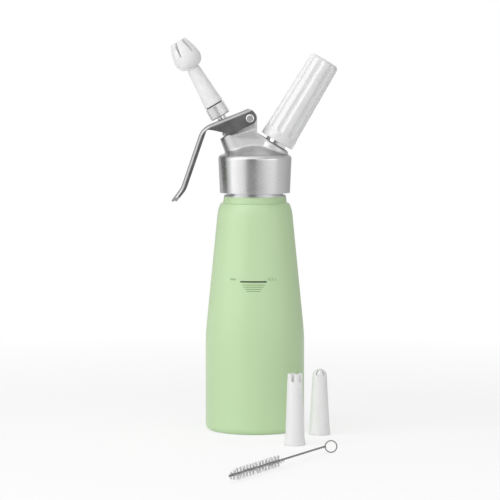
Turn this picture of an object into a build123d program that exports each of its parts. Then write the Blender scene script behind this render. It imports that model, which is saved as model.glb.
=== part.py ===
from build123d import *
import os

# A half-litre cream whipper with its spare tips and cleaning brush, in millimetres.
# The origin is the centre of the bottle's base and +Z is up. The nozzle and its lever
# lean to -X, the gas charger leans to +X, and the fill mark faces -Y.

os.makedirs("parts", exist_ok=True)

# ------------------------------------------------------------------ fits
running_fit = 0.08      # radial clearance of a shaft that slides or turns in its bore
press_gap = 0.03        # radial clearance of a piece that is pressed or screwed in
seat_gap = 0.05         # between two flat faces that rest on each other
air_gap = 0.4           # between curved faces of pieces that move past each other
edge_break = 0.5        # chamfer on the edges of small turned pieces

# ------------------------------------------------------------------ bottle
bottle_r = 40.0
bottle_wall = 1.2
base_corner = 5.0
straight_height = 78.0
waist_blend = 180.0
shoulder_r = 30.3
taper_height = 97.5     # from the end of the straight wall to the start of the shoulder
shoulder_drop = 2.5     # how much the radius shrinks over the shoulder
shoulder_rise = 8.3
shoulder_bulge = 0.37
lip_inset = 2.0         # from the shoulder's top edge in to the lip
lip_foot = 0.9
rim_r = 25.2
rim_rise = 4.8

shoulder_z = straight_height + taper_height
crease_r = shoulder_r - shoulder_drop
crease_z = shoulder_z + shoulder_rise
rim_z = crease_z + rim_rise

# ------------------------------------------------------------------ threaded neck
neck_bore_r = 20.5
neck_wall = 2.0
neck_skirt = 4.6
neck_band_r = 24.9
neck_band_height = 2.0
neck_relief_height = 3.2
neck_relief_depth = 1.3
neck_thread_r = 24.2
neck_height = 17.4
neck_chamfer = 0.8
mouth_z = rim_z + neck_height

# ------------------------------------------------------------------ head casting
neck_show = 3.9         # bare neck between the bottle's rim and the head
collar_r = 28.3
collar_flare = 1.4
collar_height = 31.0
collar_round = 3.6
dome_rise = 8.5
dome_foot_inset = 4.0
gasket_height = 1.9
gasket_round = 0.57
cavity_r = 19.8
cavity_height = 12.0
cavity_wall_height = 4.2
cavity_ridge_r = 11.9
cavity_ridge_height = 10.2
head_thread_r = neck_thread_r + air_gap

collar_z = rim_z + neck_show
collar_top_z = collar_z + collar_height
collar_top_r = collar_r + collar_flare
dome_foot_r = collar_top_r - dome_foot_inset
ledge_z = mouth_z + gasket_height + 2 * seat_gap

# ------------------------------------------------------------------ nozzle axis
nozzle_tilt = 30.0
nozzle_rise = 0.5       # of the axis' foot above the bottle's mouth
seat_s = 14.0           # heights along the nozzle axis are called s
guide_length = 6.0
boss_s = 39.6
boss_r = 9.7
boss_taper = 0.18       # growth of the boss' radius per unit of its depth
boss_root_s = 8.0
seat_pocket_r = 7.8
chamber_r = 5.6

stem_r = 3.5
stem_bore_r = 2.0
stem_spigot_r = 2.4
stem_foot_s = 6.0
stem_top_s = 62.9
inlet_s = 16.2
inlet_r = 1.2
flange_s = 36.0
flange_r = 5.2
flange_height = 1.5
seal_height = 2.0
seal_r = 6.2
retainer_height = 2.4
retainer_r = 5.0
spring_wire_r = 0.5
spring_turns = 5
gland_across = 11.0
gland_height = 3.1
gland_depth = 1.8
oring_depth = 0.9       # of the ring's groove above the gland's foot
oring_height = 1.4
oring_width = 0.9
pad_s = 46.5
pad_height = 3.4
pad_r = 6.5
pad_crown = 0.3
pad_bevel = 1.6
adapter_s = 55.1
adapter_r = 8.2
adapter_height = 10.0
adapter_chamfer = 0.7
spigot_r = 5.2
spigot_height = 7.0
adapter_bore_r = 2.6
tip_gasket_height = 0.9
tip_gasket_margin = 1.1
tip_gasket_play = 0.2

tip_s = adapter_s + adapter_height + tip_gasket_height
chamber_floor_s = seat_s + guide_length

# ------------------------------------------------------------------ charger axis
charger_tilt = 31.0
charger_drop = 1.0      # of the axis' foot below the bottle's mouth
charger_boss_t = 31.7   # heights along the charger axis are called t
charger_boss_r = 13.4
charger_boss_round = 3.0
nipple_root_t = 22.0
nipple_root_r = 7.5
nipple_neck_r = 8.75
nipple_neck_height = 4.7
nipple_thread_r = 10.2
nipple_thread_height = 9.6
nipple_cup_r = 4.3
nipple_cup_depth = 8.0
piercer_r = 3.0
piercer_post_r = 1.8
piercer_post_t = 9.0
pin_r = 0.9
pin_height = 3.0
pin_bevel = 0.3
gas_bore_r = 0.45
gas_port_r = 0.3
sleeve_r = 3.3
sleeve_height = 6.0
sleeve_lift = 0.6       # of the sleeve above the floor of its bore
sleeve_room = 1.5
charger_seal_height = 1.0

cylinder_r = 8.95       # a standard 8 g gas cylinder
cylinder_length = 65.5
cylinder_neck_r = 3.75
cylinder_neck_height = 9.5
cylinder_shoulder = 7.0
cylinder_bulge = 1.25
cylinder_wall = 1.5
cylinder_hole_r = 1.35

holder_gap = 3.7        # between the head and the holder's open end
holder_rim_r = 13.8
holder_rim_height = 6.6
holder_rim_step = 0.4
holder_top_r = 12.2
holder_round = 3.0
holder_end_wall = 3.0
holder_thread_height = 12.0
holder_pad_height = 2.6
flute_count = 6
flute_width = 9.6
flute_depth = 1.0
flute_floor_r = 30.0
flute_margin = 4.0
flute_turn = 60.0

nipple_top_t = charger_boss_t + nipple_neck_height + nipple_thread_height
cup_floor_t = nipple_top_t - nipple_cup_depth
cylinder_t = cup_floor_t + charger_seal_height + 2 * seat_gap
cylinder_top_t = cylinder_t + cylinder_length
holder_t = charger_boss_t + holder_gap
holder_pad_t = cylinder_top_t + 2 * seat_gap
holder_inside_t = holder_pad_t + holder_pad_height + seat_gap
holder_top_t = holder_inside_t + holder_end_wall

# ------------------------------------------------------------------ lever and pivot
pivot_x = -4.0
pivot_rise = 46.7       # from the bottle's mouth up to the pivot
pivot_z = mouth_z + pivot_rise
pivot_r = 2.0
pivot_head_r = 3.3
pivot_head_height = 1.3
pivot_head_round = 0.78
ear_r = 5.7
ear_half = 9.4
land_half = 10.3
ear_foot_half = 12.6    # half of the ear's width where it meets the dome
ear_foot_drop = 16.0    # from the pivot down to where the ear's sides start to lean out
land_r = 4.6
ear_shoulder_inset = 2.0
ear_shoulder_drop = 7.4
lever_sheet = 1.8
lever_half = 12.5       # half of the lever's outer width
lever_bend = 3.0
web_slope = 22.0        # of the web over the nozzle, from the horizontal
web_height = 7.6        # from the pivot to the web's outer face
web_back = 10.0
handle_reach = 39.0     # from the pivot to the bend into the handle, along the web
handle_drop = 51.2
handle_slope = 71.0
handle_bend = 0.41 * handle_reach
handle_depth = 4.4
flare_drop = 13.2
flare_slope = 53.5
flare_bend = 14.0
lever_rear = 5.4        # how far the lever reaches behind its pivot
lever_end_r = 5.7
lever_end_top_r = 7.6
lever_lap = 0.6         # of the side outline beyond the lever's back
flange_depth = 13.4
flange_reach = 0.5 * handle_reach
arch_depth = 5.3
arch_reach = 0.8 * handle_reach
flange_round = 1.5
handle_round = 2.5
tip_depth = 3.6
tip_round = 7.0         # of the handle's tip, seen square to its back
pivot_nut_height = 2.2
pivot_socket_r = 1.7
pivot_socket_depth = 1.0
stem_slot_length = 14.0
stem_slot_width = 9.4

# ------------------------------------------------------------------ spare tips and brush
tulip_base_r = 8.0
tulip_waist = 33.0
tulip_waist_r = 5.4
tulip_neck_step = 0.5
tulip_throat_r = 3.6
# radius and height above the waist, along the bulb's outside and up its hollow
tulip_outside = [(5.1, 1.4), (9.66, 4.4), (11.1, 9.0), (10.32, 15.0), (8.44, 21.0), (6.6, 25.5)]
tulip_hollow = [(3.6, 3.0), (7.58, 5.4), (9.8, 9.4), (9.02, 14.8), (7.14, 20.6), (5.3, 25.5)]
tulip_slot_depth = 12.0
tulip_slot_low = 1.1
tulip_slot_high = 3.0
tulip_slot_turn = 8.0
tip_slots = 6

straight_tip_x = 31.0
straight_tip_y = -90.0
straight_tip_height = 55.8
straight_tip_lip_r = 8.3
straight_lip_height = 1.0
straight_foot_step = 0.3
straight_foot_height = 9.0
straight_tip_r = 7.4
straight_tip_top_r = 5.8
straight_slot_low = 2.0
straight_slot_high = 2.9
straight_slot_depth = 5.2
straight_slot_turn = 10.5

star_tip_x = 51.8
star_tip_y = -31.0
star_tip_height = 52.8
star_tip_base_r = 8.7
star_tip_shoulder_r = 5.6
star_tip_dome = 4.0
star_slit_width = 0.9
star_slit_turn = 1.0
star_hub_r = 1.0

tip_wall = 1.4
tip_socket = 8.0
tip_bore_cone = 2.0
tip_bore_step = 1.2
tip_lip_bevel = 0.4
tip_lip_step = 0.6
tip_lip_height = 5.0

brush_x = -18.6
brush_y = -279.8
brush_heading = 63.7
brush_length = 172.0
brush_axis_z = 5.05
brush_twist_r = 1.1     # two wires twisted together
loop_wire_r = 0.8
bristle_r = 4.8
bristle_start = 0.5
bristle_length = 86.0
bristle_foot = 3.0
bristle_tip = 5.0
bristle_end_r = 2.9
loop_r = 5.0            # the loop stands upright, square to the Y axis

# ------------------------------------------------------------------ planes and helpers
nozzle_lean = Rotation(0, -nozzle_tilt, 0)
charger_lean = Rotation(0, charger_tilt, 0)
nozzle_plane = Plane(Location((0, 0, mouth_z + nozzle_rise)) * nozzle_lean)
charger_plane = Plane(Location((0, 0, mouth_z - charger_drop)) * charger_lean)
nozzle_axis = Axis(nozzle_plane.origin, nozzle_plane.z_dir)
charger_axis = Axis(charger_plane.origin, charger_plane.z_dir)


def section_of(plane):
    """The plane through an axis, with the radius along its x and the height along its y."""
    return Plane(origin=plane.origin, x_dir=plane.y_dir, z_dir=plane.x_dir)


def turned(outline, plane, mode=Mode.ADD):
    """Revolve a closed outline of (radius, height) corners about the plane's normal."""
    with BuildSketch(section_of(plane)) as profile:
        with BuildLine():
            Polyline(*outline, close=True)
        make_face()
    revolve(profile.sketch, axis=Axis(plane.origin, plane.z_dir), mode=mode)


def bored(plane, radius, low, high):
    """Cut a round hole about the plane's normal between two heights."""
    outline = [(0, low), (radius, low), (radius, high), (0, high)]
    turned(outline, plane, Mode.SUBTRACT)


def round_corner(builder, corner, radius):
    """Round the corner of a sketch that is nearest to a point."""
    nearest = builder.vertices().sort_by_distance((corner[0], corner[1], 0))[0]
    fillet(nearest, radius=radius)


def cut_round(cutter, axis, count, first_angle):
    """Cut copies of one cutter, evenly spaced about an axis."""
    for index in range(count):
        turn = first_angle + 360 / count * index
        add(cutter.rotate(axis, turn), mode=Mode.SUBTRACT)


def finish(builder, name):
    """Label a piece and write its STEP file."""
    builder.part.label = name
    export_step(builder.part, f"parts/{name}.step")


# ================================================================== bottle
with BuildPart() as bottle_shell:
    with BuildSketch(Plane.XZ) as bottle_profile:
        with BuildLine():
            Polyline(
                (0, 0),
                (bottle_r, 0),
                (bottle_r, straight_height),
                (shoulder_r, shoulder_z),
            )
            SagittaArc((shoulder_r, shoulder_z), (crease_r, crease_z), -shoulder_bulge)
            Polyline(
                (crease_r, crease_z),
                (crease_r - lip_inset, crease_z + lip_foot),
                (rim_r, rim_z),
                (0, rim_z),
                (0, 0),
            )
        make_face()
        round_corner(bottle_profile, (bottle_r, 0), base_corner)
        round_corner(bottle_profile, (bottle_r, straight_height), waist_blend)
    revolve(axis=Axis.Z)
    offset(amount=-bottle_wall, openings=bottle_shell.faces().sort_by(Axis.Z)[-1])
finish(bottle_shell, "bottle_shell")

with BuildPart() as threaded_neck:
    skirt_r = neck_bore_r + neck_wall
    band_top = rim_z + neck_band_height
    relief_r = neck_thread_r - neck_relief_depth
    relief_top = band_top + neck_relief_height
    turned(
        [
            (neck_bore_r, rim_z - neck_skirt),
            (skirt_r, rim_z - neck_skirt),
            (skirt_r, rim_z + seat_gap),
            (neck_band_r, rim_z + seat_gap),
            (neck_band_r, band_top),
            (relief_r, band_top),
            (relief_r, relief_top),
            (neck_thread_r, relief_top + neck_relief_depth),
            (neck_thread_r, mouth_z - neck_chamfer),
            (neck_thread_r - neck_chamfer, mouth_z),
            (neck_bore_r, mouth_z),
        ],
        Plane.XY,
    )
finish(threaded_neck, "threaded_neck")

with BuildPart() as head_gasket:
    gasket_z = mouth_z + seat_gap
    turned(
        [
            (neck_bore_r + seat_gap, gasket_z),
            (neck_thread_r, gasket_z),
            (neck_thread_r, gasket_z + gasket_height),
            (neck_bore_r + seat_gap, gasket_z + gasket_height),
        ],
        Plane.XY,
    )
    fillet(head_gasket.edges(), radius=gasket_round)
finish(head_gasket, "head_gasket")

# ================================================================== head casting
def cap_mid(radius, low, rise):
    """A point on the arc of a shallow cap, which the arc is drawn through."""
    sphere_r = (radius**2 + rise**2) / (2 * rise)
    half = radius * 0.6
    return (half, low + rise - sphere_r + (sphere_r**2 - half**2) ** 0.5)


def flat_point(plane, radius, height):
    """The X and Z of a point given by its radius and height on a leaning axis."""
    point = plane.from_local_coords((radius, 0, height))
    return (point.X, point.Z)


ear_front = flat_point(nozzle_plane, boss_r - edge_break, boss_s - edge_break)
boss_front = flat_point(nozzle_plane, 0, boss_s - edge_break)
shoulder_front = flat_point(nozzle_plane, 0, boss_s - ear_shoulder_inset)
ear_foot_front = flat_point(nozzle_plane, 0, chamber_floor_s)
ear_foot_rear = flat_point(charger_plane, 0, nipple_root_t)
ear_rear_x = pivot_x + ear_r
charger_face = flat_point(charger_plane, 0, charger_boss_t)
face_slope = charger_plane.x_dir.Z / charger_plane.x_dir.X
sleeve_low_t = piercer_post_t + sleeve_lift
sleeve_top_t = sleeve_low_t + sleeve_height
ear_rear_z = charger_face[1] + (ear_rear_x - charger_face[0]) * face_slope

# The ear's lower part: its sides are upright beside the lever and lean out below it.
with BuildPart() as ear_shoulder:
    with BuildSketch(Plane.XZ):
        with BuildLine():
            Polyline(
                shoulder_front,
                ear_foot_front,
                ear_foot_rear,
                charger_face,
                (ear_rear_x, ear_rear_z),
                (ear_rear_x, pivot_z - ear_shoulder_drop),
                close=True,
            )
        make_face()
        with Locations((pivot_x, pivot_z)):
            Circle(land_r)
    extrude(amount=ear_foot_half, both=True)
    with BuildSketch(Plane.YZ):
        with BuildLine():
            Polyline(
                (land_half, pivot_z + land_r),
                (land_half, pivot_z - ear_foot_drop),
                (ear_foot_half, collar_top_z),
                (-ear_foot_half, collar_top_z),
                (-land_half, pivot_z - ear_foot_drop),
                (-land_half, pivot_z + land_r),
                close=True,
            )
        make_face()
    extrude(amount=2 * collar_r, both=True, mode=Mode.INTERSECT)

with BuildPart() as head_body:
    with BuildSketch(Plane.XZ) as head_profile:
        with BuildLine():
            Polyline(
                (0, collar_z),
                (collar_r, collar_z),
                (collar_top_r, collar_top_z),
                (dome_foot_r, collar_top_z),
            )
            dome_mid = cap_mid(dome_foot_r, collar_top_z, dome_rise)
            dome_top = (0, collar_top_z + dome_rise)
            ThreePointArc((dome_foot_r, collar_top_z), dome_mid, dome_top)
            Line(dome_top, (0, collar_z))
        make_face()
        round_corner(head_profile, (collar_top_r, collar_top_z), collar_round)
    revolve(axis=Axis.Z)

    turned(
        [
            (0, boss_root_s),
            (boss_r + boss_taper * (boss_s - boss_root_s), boss_root_s),
            (boss_r, boss_s - edge_break),
            (boss_r - edge_break, boss_s),
            (0, boss_s),
        ],
        nozzle_plane,
    )

    with BuildSketch(section_of(charger_plane)) as charger_boss:
        with Locations((charger_boss_r / 2, (boss_root_s + charger_boss_t) / 2)):
            Rectangle(charger_boss_r, charger_boss_t - boss_root_s)
        round_corner(charger_boss, (charger_boss_r, charger_boss_t), charger_boss_round)
    revolve(axis=charger_axis)

    with BuildSketch(Plane.XZ) as ear:
        with BuildLine():
            Polyline(
                (pivot_x - ear_r, pivot_z),
                ear_front,
                boss_front,
                ear_foot_front,
                ear_foot_rear,
                charger_face,
                (ear_rear_x, ear_rear_z),
                (ear_rear_x, pivot_z),
                close=True,
            )
        make_face()
        with Locations((pivot_x, pivot_z)):
            Circle(ear_r)
    extrude(amount=ear_half, both=True)
    add(ear_shoulder.part)

    bored(Plane.XY, head_thread_r, collar_z, ledge_z)
    turned(
        [
            (0, ledge_z),
            (cavity_r, ledge_z),
            (cavity_r, ledge_z + cavity_wall_height),
            (cavity_ridge_r, ledge_z + cavity_ridge_height),
            (0, ledge_z + cavity_height),
        ],
        Plane.XY,
        Mode.SUBTRACT,
    )
    bored(nozzle_plane, seat_pocket_r, 0, seat_s)
    bored(nozzle_plane, stem_r + running_fit, seat_s, chamber_floor_s)
    bored(nozzle_plane, chamber_r, chamber_floor_s, boss_s + 1)
    bored(charger_plane, nipple_root_r + press_gap, nipple_root_t - seat_gap, charger_boss_t + 1)
    bored(charger_plane, piercer_post_r + press_gap, piercer_post_t, nipple_root_t)
    bored(charger_plane, sleeve_r + air_gap, piercer_post_t, sleeve_top_t + sleeve_room)
    with Locations(Location((pivot_x, 0, pivot_z), (90, 0, 0))):
        Cylinder(pivot_r + press_gap, 4 * land_half, mode=Mode.SUBTRACT)
finish(head_body, "head_body")

# ================================================================== cream valve
gland_s = boss_s + seat_gap
gland_top_s = gland_s + gland_height
gland_bore_r = stem_r + running_fit
oring_s = boss_s - gland_depth + oring_depth

with BuildPart() as valve_gland_nut:
    with BuildSketch(nozzle_plane.offset(gland_s)):
        RegularPolygon(gland_across / 2, 6, major_radius=False)
    extrude(amount=gland_height)
    turned(
        [
            (0, boss_s - gland_depth),
            (chamber_r - press_gap, boss_s - gland_depth),
            (chamber_r - press_gap, gland_s),
            (0, gland_s),
        ],
        nozzle_plane,
    )
    chamfer(valve_gland_nut.edges().group_by(nozzle_axis)[-1], length=edge_break)
    bored(nozzle_plane, gland_bore_r, 0, gland_top_s + 1)
    bored(nozzle_plane, gland_bore_r + oring_width + seat_gap, oring_s, oring_s + oring_height + seat_gap)
finish(valve_gland_nut, "valve_gland_nut")

with BuildPart() as stem_oring:
    turned(
        [
            (gland_bore_r, oring_s + seat_gap),
            (gland_bore_r + oring_width, oring_s + seat_gap),
            (gland_bore_r + oring_width, oring_s + oring_height),
            (gland_bore_r, oring_s + oring_height),
        ],
        nozzle_plane,
    )
    fillet(stem_oring.edges(), radius=oring_width / 3)
finish(stem_oring, "stem_oring")

with BuildPart() as valve_stem:
    turned(
        [
            (0, stem_foot_s),
            (stem_spigot_r, stem_foot_s),
            (stem_spigot_r, seat_s),
            (stem_r, seat_s),
            (stem_r, flange_s),
            (flange_r, flange_s),
            (flange_r, flange_s + flange_height),
            (stem_r, flange_s + flange_height),
            (stem_r, stem_top_s),
            (0, stem_top_s),
        ],
        nozzle_plane,
    )
    bored(nozzle_plane, stem_bore_r, inlet_s - 1.5 * inlet_r, stem_top_s)
    inlet_place = nozzle_plane.offset(inlet_s).location
    for inlet_turn in (Rotation(90, 0, 0), Rotation(0, 90, 0)):
        with Locations(inlet_place * inlet_turn):
            Cylinder(inlet_r, 4 * stem_r, mode=Mode.SUBTRACT)
finish(valve_stem, "valve_stem")

seal_top_s = seat_s - seat_gap
retainer_top_s = seal_top_s - seal_height - seat_gap

with BuildPart() as valve_seal:
    turned(
        [
            (stem_spigot_r + press_gap, seal_top_s - seal_height),
            (seal_r, seal_top_s - seal_height),
            (seal_r, seal_top_s),
            (stem_spigot_r + press_gap, seal_top_s),
        ],
        nozzle_plane,
    )
finish(valve_seal, "valve_seal")

with BuildPart() as seal_retainer:
    with BuildSketch(nozzle_plane.offset(retainer_top_s - retainer_height)):
        RegularPolygon(retainer_r, 6, major_radius=False)
        Circle(stem_spigot_r + press_gap, mode=Mode.SUBTRACT)
    extrude(amount=retainer_height)
finish(seal_retainer, "seal_retainer")

with BuildPart() as valve_spring:
    coil_low = chamber_floor_s + spring_wire_r + 2 * seat_gap
    coil_high = flange_s - spring_wire_r - 2 * seat_gap
    coil_r = (stem_r + chamber_r) / 2
    coil = nozzle_plane.offset(coil_low).location * Helix(
        (coil_high - coil_low) / spring_turns, coil_high - coil_low, coil_r
    )
    with BuildSketch(Plane(origin=coil @ 0, z_dir=coil % 0)):
        Circle(spring_wire_r)
    sweep(path=coil)
finish(valve_spring, "valve_spring")

with BuildPart() as stem_pad:
    pad_bore_r = stem_r + press_gap
    turned(
        [
            (pad_bore_r, pad_s),
            (pad_r, pad_s),
            (pad_r, pad_s + pad_height),
            (pad_r - pad_bevel, pad_s + pad_height + pad_crown),
            (pad_bore_r, pad_s + pad_height + pad_crown),
        ],
        nozzle_plane,
    )
finish(stem_pad, "stem_pad")

with BuildPart() as nozzle_adapter:
    adapter_top_s = adapter_s + adapter_height
    turned(
        [
            (0, adapter_s),
            (adapter_r - adapter_chamfer, adapter_s),
            (adapter_r, adapter_s + adapter_chamfer),
            (adapter_r, adapter_top_s - edge_break),
            (adapter_r - edge_break, adapter_top_s),
            (spigot_r, adapter_top_s),
            (spigot_r, adapter_top_s + spigot_height - edge_break),
            (spigot_r - edge_break, adapter_top_s + spigot_height),
            (0, adapter_top_s + spigot_height),
        ],
        nozzle_plane,
    )
    bored(nozzle_plane, stem_r + press_gap, adapter_s, stem_top_s + seat_gap)
    bored(nozzle_plane, adapter_bore_r, stem_top_s, adapter_top_s + spigot_height)
finish(nozzle_adapter, "nozzle_adapter")

with BuildPart() as tip_gasket:
    turned(
        [
            (spigot_r + tip_gasket_play, adapter_top_s + seat_gap),
            (adapter_r - tip_gasket_margin, adapter_top_s + seat_gap),
            (adapter_r - tip_gasket_margin, tip_s - seat_gap),
            (spigot_r + tip_gasket_play, tip_s - seat_gap),
        ],
        nozzle_plane,
    )
finish(tip_gasket, "tip_gasket")

# ================================================================== gas charger
with BuildPart() as charger_nipple:
    nipple_shoulder_t = charger_boss_t + nipple_neck_height
    turned(
        [
            (0, nipple_root_t),
            (nipple_root_r, nipple_root_t),
            (nipple_root_r, charger_boss_t + seat_gap),
            (nipple_neck_r, charger_boss_t + seat_gap),
            (nipple_neck_r, nipple_shoulder_t),
            (nipple_thread_r, nipple_shoulder_t + 2 * edge_break),
            (nipple_thread_r, nipple_top_t - 2 * edge_break),
            (nipple_thread_r - 2 * edge_break, nipple_top_t),
            (0, nipple_top_t),
        ],
        charger_plane,
    )
    bored(charger_plane, piercer_r + press_gap, nipple_root_t, cup_floor_t)
    bored(charger_plane, nipple_cup_r, cup_floor_t, nipple_top_t)
finish(charger_nipple, "charger_nipple")

with BuildPart() as piercer:
    turned(
        [
            (0, piercer_post_t),
            (piercer_post_r, piercer_post_t),
            (piercer_post_r, nipple_root_t + seat_gap),
            (piercer_r, nipple_root_t + seat_gap),
            (piercer_r, cup_floor_t - edge_break),
            (pin_r, cup_floor_t),
            (pin_r, cup_floor_t + pin_height - 2 * pin_bevel),
            (pin_r - pin_bevel, cup_floor_t + pin_height),
            (0, cup_floor_t + pin_height),
        ],
        charger_plane,
    )
    port_t = (sleeve_low_t + sleeve_top_t) / 2
    bored(charger_plane, gas_bore_r, port_t - 2 * gas_bore_r, cup_floor_t + pin_height)
    with Locations(charger_plane.offset(port_t).location * Rotation(90, 0, 0)):
        Cylinder(gas_port_r, 4 * piercer_post_r, mode=Mode.SUBTRACT)
finish(piercer, "piercer")

with BuildPart() as check_sleeve:
    turned(
        [
            (piercer_post_r + press_gap, sleeve_low_t),
            (sleeve_r, sleeve_low_t),
            (sleeve_r, sleeve_top_t),
            (piercer_post_r + press_gap, sleeve_top_t),
        ],
        charger_plane,
    )
finish(check_sleeve, "check_sleeve")

with BuildPart() as charger_seal:
    turned(
        [
            (pin_r + press_gap, cup_floor_t + seat_gap),
            (nipple_cup_r - seat_gap, cup_floor_t + seat_gap),
            (nipple_cup_r - seat_gap, cup_floor_t + seat_gap + charger_seal_height),
            (pin_r + press_gap, cup_floor_t + seat_gap + charger_seal_height),
        ],
        charger_plane,
    )
finish(charger_seal, "charger_seal")


def cylinder_outline(inset):
    """The outline of the gas cylinder, or of its hollow when it is inset by the wall."""
    neck_top = cylinder_t + cylinder_neck_height
    body_low = neck_top + cylinder_shoulder
    body_r = cylinder_r - inset
    neck_r = cylinder_neck_r - inset
    cap_low = cylinder_top_t - cylinder_shoulder
    cap_rise = cylinder_shoulder - inset
    with BuildSketch(section_of(charger_plane)) as outline:
        with BuildLine():
            Polyline((0, cylinder_t + inset), (neck_r, cylinder_t + inset), (neck_r, neck_top + inset))
            SagittaArc((neck_r, neck_top + inset), (body_r, body_low + inset), -cylinder_bulge)
            Line((body_r, body_low + inset), (body_r, cap_low))
            ThreePointArc((body_r, cap_low), cap_mid(body_r, cap_low, cap_rise), (0, cap_low + cap_rise))
            Line((0, cap_low + cap_rise), (0, cylinder_t + inset))
        make_face()
    return outline.sketch


with BuildPart() as gas_charger:
    revolve(cylinder_outline(0), axis=charger_axis)
    revolve(cylinder_outline(cylinder_wall), axis=charger_axis, mode=Mode.SUBTRACT)
    bored(charger_plane, cylinder_hole_r, cylinder_t, cylinder_t + 2 * cylinder_wall)
finish(gas_charger, "gas_charger")

# ================================================================== charger holder
rim_top_t = holder_t + holder_rim_height
holder_body_r = holder_rim_r - holder_rim_step
holder_side = Vector(holder_body_r - holder_top_r, 0, holder_top_t - rim_top_t)
holder_draft = holder_side.get_angle(Vector(0, 0, 1))
flute_length = holder_top_t - rim_top_t - 2 * flute_margin
flute_mid_t = (holder_top_t + rim_top_t) / 2
flute_mid_r = (holder_body_r + holder_top_r) / 2

# One flute: a long slot with round ends, whose floor is a wide shallow curve.
with BuildPart() as flute_cutter:
    floor_axis = charger_plane.x_dir * (flute_mid_r - flute_depth + flute_floor_r)
    floor_centre = charger_plane.origin + charger_plane.z_dir * flute_mid_t + floor_axis
    with Locations(Location(floor_centre) * charger_lean * Rotation(0, -holder_draft, 0)):
        Cylinder(flute_floor_r, 2 * flute_length)
    flute_plane = Plane(
        origin=charger_plane.origin + charger_plane.z_dir * flute_mid_t,
        x_dir=charger_plane.z_dir,
        z_dir=charger_plane.x_dir,
    )
    with BuildSketch(flute_plane):
        SlotOverall(flute_length, flute_width)
    extrude(amount=2 * holder_rim_r, mode=Mode.INTERSECT)

with BuildPart() as charger_holder:
    turned(
        [
            (0, holder_t),
            (holder_rim_r, holder_t),
            (holder_rim_r, rim_top_t),
            (holder_body_r, rim_top_t + holder_rim_step),
            (holder_top_r, holder_top_t),
            (0, holder_top_t),
        ],
        charger_plane,
    )
    fillet(charger_holder.edges().group_by(charger_axis)[-1], radius=holder_round)
    cut_round(flute_cutter.part, charger_axis, flute_count, flute_turn)
    thread_bore_r = nipple_thread_r + air_gap
    bored(charger_plane, thread_bore_r, holder_t, holder_t + holder_thread_height)
    bored(charger_plane, cylinder_r + air_gap, holder_t, holder_inside_t)
    chamfer(charger_holder.edges().group_by(charger_axis)[0], length=edge_break)
finish(charger_holder, "charger_holder")

with BuildPart() as holder_pad:
    turned(
        [
            (0, holder_pad_t),
            (cylinder_r, holder_pad_t),
            (cylinder_r, holder_pad_t + holder_pad_height),
            (0, holder_pad_t + holder_pad_height),
        ],
        charger_plane,
    )
    chamfer(holder_pad.edges(), length=edge_break)
finish(holder_pad, "holder_pad")

# ================================================================== lever
# The web is the back of the pressed channel: it runs from the pivot out over the nozzle,
# bends down into the handle and flares away from the bottle at its tip.
pivot_point = Vector(pivot_x, 0, pivot_z)


def down_slope(start, length, slope):
    """A point further out along the lever, at a slope below the horizontal."""
    return start + Vector(-length, 0, 0).rotate(Axis.Y, -slope)


def under(start, depth, slope):
    """A point under the lever's back, square to a slope."""
    return start + Vector(0, 0, -depth).rotate(Axis.Y, -slope)


def web_place(reach, depth):
    """A point given by its reach from the pivot along the web and its depth under the web."""
    return under(down_slope(pivot_point, reach, web_slope), depth - web_height, web_slope)


def flat(*points):
    """The X and Z of each point, for a sketch in the lever's side plane."""
    return [(point.X, point.Z) for point in points]


web_corner = web_place(handle_reach, 0)
handle_end = down_slope(web_corner, handle_drop, handle_slope)
lever_tip = down_slope(handle_end, flare_drop, flare_slope)
lever_beyond = down_slope(lever_tip, web_back, flare_slope)
web_behind = web_place(-web_back - lever_rear, 0)
back_line = FilletPolyline(
    web_behind, web_corner, handle_end, lever_beyond, radius=[handle_bend, flare_bend]
)


def channel(inset, bend):
    """A solid filled channel: the lever's back with its two rounded edges, open below."""
    with BuildPart(mode=Mode.PRIVATE) as filled:
        with BuildSketch(Plane.XZ) as side:
            with BuildLine():
                Polyline(
                    *flat(
                        web_behind,
                        web_corner,
                        handle_end,
                        lever_beyond,
                        under(lever_beyond, 3 * web_back, flare_slope),
                        under(web_corner, 4 * web_back, handle_slope - web_slope),
                        under(web_behind, 4 * web_back, web_slope),
                    ),
                    close=True,
                )
            make_face()
            for corner, radius in ((web_corner, handle_bend), (handle_end, flare_bend)):
                round_corner(side, flat(corner)[0], radius)
            if inset:
                offset(amount=-inset, kind=Kind.INTERSECTION)
        extrude(amount=lever_half - inset, both=True)
        long_edges = [
            edge
            for edge in filled.edges()
            if abs(edge.center().Y) > lever_half - inset - 0.01
            and abs(Vertex(edge.center().X, 0, edge.center().Z).distance_to(back_line) - inset) < 0.05
        ]
        fillet(long_edges, radius=bend)
    return filled.part


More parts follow.
